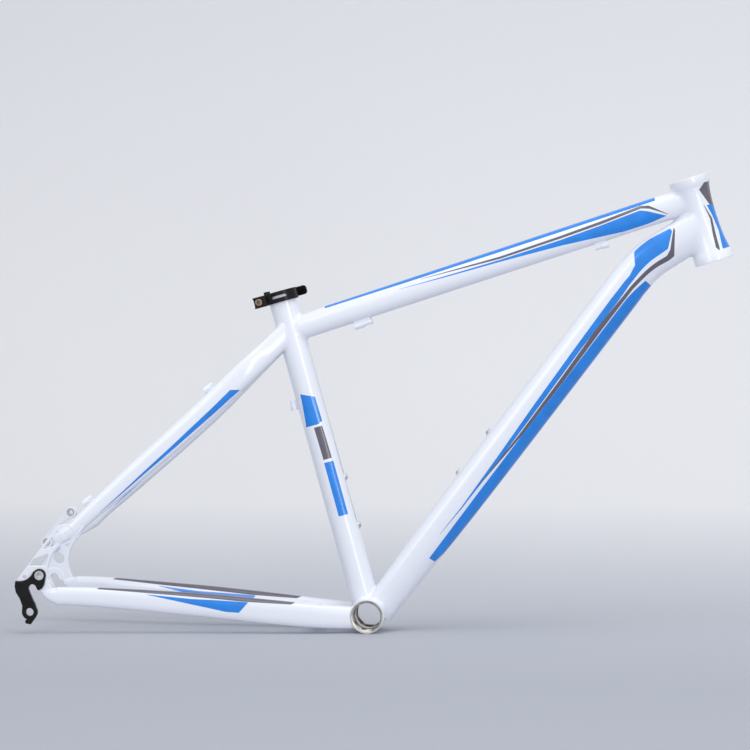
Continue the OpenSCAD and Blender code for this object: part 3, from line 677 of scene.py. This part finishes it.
SEAT_TUBE_STRIPES = [
    (BLUE, [(253, -13.5, 4.5), (256, -12.1, 9.8), (288, -8.9, 9.0), (296, -8.6, -8.3)]),
    # painted highlight: a thin light line along the blue rectangle where the seat tube's shine falls
    (PAINTED_HIGHLIGHT_BLUE, [(254, 4.6, 5.8), (258, 4.8, 6.0), (289, 4.2, 5.4), (291, 4.2, 4.3)]),
    (GRAPHITE, [(207, -2.0, 9.0), (210, -1.8, 9.1), (247, -2.6, 8.3), (250, -2.6, 7.8)]),
    (BLUE, [(132, -2.4, 9.8), (135, -2.3, 9.9), (200, -2.2, 9.9), (203, -2.2, 9.6)]),
]
HEAD_TUBE_STRIPES = [
    (GRAPHITE, [(66, 17.0, 40), (92, 8.4, 40), (99, 17.5, 40)]),
    (GRAPHITE, [(12, 8.9, 10.4), (16, 6.4, 10.8), (32, 7.6, 11.4), (53, 10.6, 13.2), (72, 8.0, 8.6)]),
    (BLUE, [(12, 14.0, 40), (36, 16.4, 40), (56, 14.6, 40), (64, 13.0, 40), (71, 11.8, 12.4)]),
]
SEATSTAY_STRIPES = [
    (BLUE, [(38, -7.4, -7.1), (122, -8.4, -5.2), (190, -9.4, -3.8), (256, -10.7, -2.6), (264, -11.2, -2.4),
            (273, -11.5, -11.2)]),
]
CHAINSTAY_STRIPES = [
    (GRAPHITE, [(48, 10.8, 11.2), (115, 10.3, 40), (231, 10.4, 40), (294, 12.6, 40), (299, 15.0, 40)]),
    (BLUE, [(111, 8.3, 8.7), (167, 0.9, 7.6), (213, -4.7, 9.4), (230, -4.2, 10.0), (240, 9.6, 10.4)]),
]


# ---------------------------------------------------------------------------------------------
# The welded frame
# ---------------------------------------------------------------------------------------------
def head_tube_profile():
    """Outside and bores of the head tube as a closed [radius, height] loop."""
    step = HEAD_RING_H + 2.5
    bend = HEAD_LENGTH / 2 - step
    neck = HEAD_RING_R - 1.4
    edge = 0.5
    outside = [(HEAD_RING_R - edge, 0), (HEAD_RING_R, edge), (HEAD_RING_R, HEAD_RING_H)]
    for k in range(41):
        z = step + (HEAD_LENGTH - 2 * step) * k / 40
        outside.append((HEAD_WAIST_R + (neck - HEAD_WAIST_R) * (abs(z - HEAD_LENGTH / 2) / bend) ** 2.6, z))
    outside += [(HEAD_RING_R, HEAD_LENGTH - HEAD_RING_H), (HEAD_RING_R, HEAD_LENGTH - edge),
                (HEAD_RING_R - edge, HEAD_LENGTH)]
    mouth = 0.8
    inside = [
        (CUP_BORE_R + mouth, HEAD_LENGTH), (CUP_BORE_R, HEAD_LENGTH - mouth),
        (CUP_BORE_R, HEAD_LENGTH - CUP_BORE_DEPTH), (STEERER_BORE_R, HEAD_LENGTH - CUP_BORE_DEPTH),
        (STEERER_BORE_R, CUP_BORE_DEPTH), (CUP_BORE_R, CUP_BORE_DEPTH), (CUP_BORE_R, mouth),
        (CUP_BORE_R + mouth, 0),
    ]
    return outside + inside


def build_head_tube():
    place = tilted(HEAD_FOOT, HEAD_TILT)
    profile = head_tube_profile()
    points, faces = revolve(profile, 144, place)
    piece = make_object("head_tube_painted", points, faces, 40)
    fix_normals(piece)
    heights = [z for r, z in profile] * 144
    forward = [r * math.cos(2 * math.pi * i / 144) for i in range(144) for r, z in profile]
    set_attribute(piece, "along", heights)
    set_attribute(piece, "across", forward)
    piece.data.materials.append(gloss_paint("head_tube_paint", HEAD_TUBE_STRIPES))
    settle(piece, "frame", "white_lacquer", "head_tube")


def build_shell(metal, paint):
    """The bottom bracket shell, with a thread cut in from each end."""
    thread_pitch = 1.058
    thread_depth = 0.55
    thread_end = 10.0
    mouth = 1.6
    face_r = 20.8
    facing = 0.6
    around = 120
    rows_per_pitch = 8
    half = SHELL_HALF
    outside = [(face_r, -half), (face_r, -half + facing), (SHELL_R, -half + facing), (SHELL_R, half - facing),
               (face_r, half - facing), (face_r, half)]
    start = half - mouth
    turns = int((start - thread_end) / thread_pitch * rows_per_pitch)
    levels = [start - k * thread_pitch / rows_per_pitch for k in range(turns)]
    levels += [8.0, -8.0] + [-z for z in reversed(levels)]
    points, faces = [], []
    count = len(outside) + len(levels) + 2
    for i in range(around):
        turn = i / around
        angle = 2 * math.pi * turn
        ring = list(outside) + [(SHELL_BORE_R + mouth, half)]
        for z in levels:
            if abs(z) > thread_end - 1:
                phase = (abs(z) / thread_pitch + turn) % 1.0
                cut = thread_depth * (1 - abs(2 * phase - 1)) ** 0.8
                ring.append((SHELL_BORE_R + cut, z))
            else:
                ring.append((SHELL_BORE_R + thread_depth, z))
        ring.append((SHELL_BORE_R + mouth, -half))
        points += [across_frame(r * math.cos(angle), r * math.sin(angle), z) for r, z in ring]
    for i in range(around):
        a = i * count
        b = (i + 1) % around * count
        for k in range(count):
            m = (k + 1) % count
            faces.append((a + k, b + k, b + m, a + m))
    piece = make_object("bottom_bracket_shell_threaded", points, faces, 55)
    fix_normals(piece)
    piece.data.materials.append(metal)
    piece.data.materials.append(paint)
    for polygon in piece.data.polygons:
        centre = polygon.center
        radius = math.hypot(centre.x, centre.z) / MM
        if radius > face_r + 0.05 and abs(centre.y) / MM < half - facing + 0.01:
            polygon.material_index = 1
    settle(piece, "frame", "bare_shell", "bottom_bracket_shell")


def closed_cylinder(radius, low, high, place, around=128):
    return revolve([(0.01, low), (radius, low), (radius, high), (0.01, high)], around, place)


def build_tubes(paint):
    head = revolve(head_tube_profile(), 144, tilted(HEAD_FOOT, HEAD_TILT))
    seat = closed_cylinder(SEAT_TUBE_R, 0, 428, tilted(Vector((0, 0, 0)), SEAT_TILT))
    shell = closed_cylinder(SHELL_R, -SHELL_HALF, SHELL_HALF, across_frame)

    top_ends = tree(head)
    seat_tree = tree(seat)
    top = Skin(FormedTube(top_tube_rows(), 0.8), 96, 140, seat_tree, top_ends)
    piece = top.build("top_tube_painted", gloss_paint("top_tube_paint", TOP_TUBE_STRIPES))
    settle(piece, "frame", "white_lacquer", "top_tube")

    foot = tree(shell, seat)
    crown = tree(head, (top.points, top.faces))
    down = Skin(FormedTube(down_tube_rows(), 0.84, 6.0), 112, 190, foot, crown)
    piece = down.build("down_tube_painted", gloss_paint("down_tube_paint", DOWN_TUBE_STRIPES))
    settle(piece, "frame", "white_lacquer", "down_tube")

    shell_tree = tree(shell)
    seat_rows = [[*seat_axis(s), SEAT_TUBE_R, SEAT_TUBE_R] for s in (0, 60, 120)]
    seat_skin = Skin(FormedTube(seat_rows), 96, 4, shell_tree)

    welds = [
        ("weld_top_tube_to_seat_tube", top, top.starts, seat_tree, 4.2, -1),
        ("weld_top_tube_to_head_tube", top, top.ends, top_ends, 4.6, 1),
        ("weld_down_tube_foot", down, down.starts, foot, 4.2, -1),
        ("weld_down_tube_to_head_tube", down, down.ends, crown, 5.0, 1),
        ("weld_seat_tube_foot", seat_skin, seat_skin.starts, shell_tree, 4.0, -1),
    ]
    for side, word in ((RIGHT, "right"), (LEFT, "left")):
        chain = Skin(FormedTube(chainstay_rows(side), 0.72), 80, 110, None, shell_tree)
        chain_paint = gloss_paint(word + "_chainstay_paint", CHAINSTAY_STRIPES)
        piece = chain.build(word + "_chainstay_painted", chain_paint)
        settle(piece, "frame", "white_lacquer", word + "_chainstay")
        welds.append(("weld_" + word + "_chainstay", chain, chain.ends, shell_tree, 3.6, 1))

        stay = Skin(FormedTube(seatstay_rows(side), 0.76), 80, 110, None, seat_tree)
        stay_paint = gloss_paint(word + "_seatstay_paint", SEATSTAY_STRIPES)
        piece = stay.build(word + "_seatstay_painted", stay_paint)
        settle(piece, "frame", "white_lacquer", word + "_seatstay")
        welds.append(("weld_" + word + "_seatstay", stay, stay.ends, seat_tree, 3.6, 1))

        for name, tube in (("chainstay", chain.tube), ("seatstay", stay.tube)):
            ring = weld_ring("weld_" + word + "_" + name + "_rear", tube, 0.02, 0.75, paint)
            settle(ring, "frame", "white_lacquer")
    for name, skin, hits, stop, width, towards in welds:
        crotch = CROWN_WELD_EXTRA if skin is down and towards == 1 else 0.0
        bead = weld_fillet(name, skin, hits, stop, width, towards, paint, crotch)
        settle(bead, "frame", "white_lacquer")


# ---------------------------------------------------------------------------------------------
# Parts that keep the CAD's own shape
# ---------------------------------------------------------------------------------------------
def copy_of(node, suffix, material):
    """A new piece with the node's shape and joined-up corners."""
    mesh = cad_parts[node].data.copy()
    mesh.name = node + suffix
    grid = bmesh.new()
    grid.from_mesh(mesh)
    bmesh.ops.remove_doubles(grid, verts=grid.verts, dist=1e-6)
    grid.to_mesh(mesh)
    grid.free()
    mesh.materials.clear()
    mesh.materials.append(material)
    piece = bpy.data.objects.new(node + suffix, mesh)
    bpy.context.scene.collection.objects.link(piece)
    return piece


def shade(piece, angle):
    for polygon in piece.data.polygons:
        polygon.use_smooth = True
    piece.data.set_sharp_from_angle(angle=math.radians(angle))


def bevelled(node, body, slot, material, width):
    piece = copy_of(node, "_finished", material)
    grid = bmesh.new()
    grid.from_mesh(piece.data)
    bmesh.ops.dissolve_limit(grid, angle_limit=math.radians(0.5), verts=grid.verts, edges=grid.edges)
    grid.to_mesh(piece.data)
    grid.free()
    shade(piece, 30)
    bevel = piece.modifiers.new("edges", "BEVEL")
    bevel.width = width * MM
    bevel.segments = 2
    bevel.limit_method = "ANGLE"
    bevel.angle_limit = math.radians(32)
    bevel.harden_normals = True
    settle(piece, body, slot, node)


def softened(node, body, slot, material, voxel, rounds):
    """A cast or forged look: the CAD shape with every edge rounded over."""
    piece = copy_of(node, "_finished", material)
    remesh = piece.modifiers.new("remesh", "REMESH")
    remesh.mode = "VOXEL"
    remesh.voxel_size = voxel * MM
    remesh.use_smooth_shade = True
    smooth = piece.modifiers.new("soften", "SMOOTH")
    smooth.factor = 0.5
    smooth.iterations = rounds
    settle(piece, body, slot, node)


def build_seat_tube():
    piece = copy_of("seat_tube", "_painted", gloss_paint("seat_tube_paint", SEAT_TUBE_STRIPES))
    shade(piece, 30)
    tilt = math.radians(SEAT_TILT)
    axis = Vector((-math.sin(tilt), 0, math.cos(tilt)))
    forward = Vector((math.cos(tilt), 0, math.sin(tilt)))
    set_attribute(piece, "along", [v.co.dot(axis) / MM for v in piece.data.vertices])
    set_attribute(piece, "across", [v.co.dot(forward) / MM for v in piece.data.vertices])
    settle(piece, "frame", "white_lacquer", "seat_tube")


def build_small_parts(paint, black, steel, brass, dark_steel):
    for word in ("right", "left"):
        softened(word + "_dropout", "frame", "white_lacquer", paint, 0.45, 4)
    lug_faces = part_bare("disc_mount_finish", DISC_LUGS, DISC_LUG_BARE_R, DISC_LUG_FACE_Y)
    softened("disc_brake_mount", "frame", "bare_mount", lug_faces, 0.4, 3)
    for node in ("top_tube_rear_cable_stop", "top_tube_front_cable_stop", "seatstay_upper_cable_stop",
                 "seatstay_lower_cable_stop", "seat_tube_cable_stop"):
        softened(node, "frame", "white_lacquer", paint, 0.22, 4)
    for node in ("chainstay_bridge", "seatstay_bridge", "down_tube_bottle_bosses", "seat_tube_bottle_bosses"):
        bevelled(node, "frame", "white_lacquer", paint, 0.3)
    for node in ("down_tube_bottle_bolts", "seat_tube_bottle_bolts", "hanger_bolt", "hanger_nut"):
        bevelled(node, "frame", "steel", steel, 0.25)
    softened("derailleur_hanger", "frame", "black_anodised", black, 0.3, 4)
    softened("seat_collar", "collar", "black_anodised", black, 0.3, 3)
    bevelled("cam_washer", "collar", "black_anodised", black, 0.25)
    bevelled("collar_skewer", "collar", "steel", dark_steel, 0.25)
    bevelled("pivot_barrel", "collar", "steel", steel, 0.3)
    softened("quick_release_lever", "lever", "black_anodised", black, 0.3, 4)
    bevelled("adjusting_nut", "nut", "brass", brass, 0.3)


# ---------------------------------------------------------------------------------------------
# Stage
# ---------------------------------------------------------------------------------------------
def build_stage():
    """A floor that sweeps up into a wall."""
    floor_z = cad_low.z / MM - 0.3
    sweep_start = 420.0
    sweep_r = 900.0
    half_width = 9000.0
    profile = [(-6000.0, floor_z), (sweep_start, floor_z)]
    for k in range(1, 33):
        turn = math.pi / 2 * k / 32
        profile.append((sweep_start + sweep_r * math.sin(turn), floor_z + sweep_r * (1 - math.cos(turn))))
    profile.append((sweep_start + sweep_r, floor_z + 7000.0))
    points = [(x, y, z) for y, z in profile for x in (-half_width, half_width)]
    faces = [(2 * k, 2 * k + 1, 2 * k + 3, 2 * k + 2) for k in range(len(profile) - 1)]
    stage = make_object("studio_sweep", points, faces)
    stage.data.materials.append(stage_paper("studio_paper", floor_z))


def add_area_light(name, location, target, size_x, size_y, power):
    data = bpy.data.lights.new(name, "AREA")
    data.shape = "RECTANGLE"
    data.size = size_x
    data.size_y = size_y
    data.energy = power
    light = bpy.data.objects.new(name, data)
    bpy.context.scene.collection.objects.link(light)
    light.location = location
    light.rotation_euler = (Vector(target) - Vector(location)).to_track_quat("-Z", "Y").to_euler()


def build_lights():
    world = bpy.data.worlds.new("studio")
    bpy.context.scene.world = world
    world.use_nodes = True
    world.node_tree.nodes["Background"].inputs["Color"].default_value = (0.98, 0.985, 1.0, 1)
    world.node_tree.nodes["Background"].inputs["Strength"].default_value = 0.80
    add_area_light("overhead", (0.5, -0.6, 2.6), (0.1, 0.0, 0.2), 3.0, 1.4, 26)
    add_area_light("front_fill", (-1.4, -3.4, 1.3), (0.0, 0.0, 0.25), 1.4, 1.6, 22)
    add_area_light("side_strip", (1.9, -3.0, 0.9), (0.0, 0.0, 0.3), 0.7, 1.8, 24)
    bpy.context.scene.view_settings.view_transform = "Standard"


make_camera()
build_stage()
build_lights()
white_paint = gloss_paint("white_paint")
bare_metal = machined("bare_aluminium", (0.42, 0.40, 0.37), (0.66, 0.64, 0.60), 0.28, 0.5)
build_head_tube()
build_shell(bare_metal, white_paint)
build_seat_tube()
build_tubes(white_paint)
build_small_parts(
    white_paint,
    anodised("black_anodised_aluminium"),
    machined("plain_steel", (0.48, 0.48, 0.50), (0.72, 0.72, 0.74), 0.2, 0.4),
    machined("plain_brass", (0.10, 0.065, 0.03), (0.50, 0.36, 0.20), 0.22, 0.5, 260),
    machined("dark_steel", (0.05, 0.05, 0.055), (0.16, 0.16, 0.17), 0.25, 0.45),
)
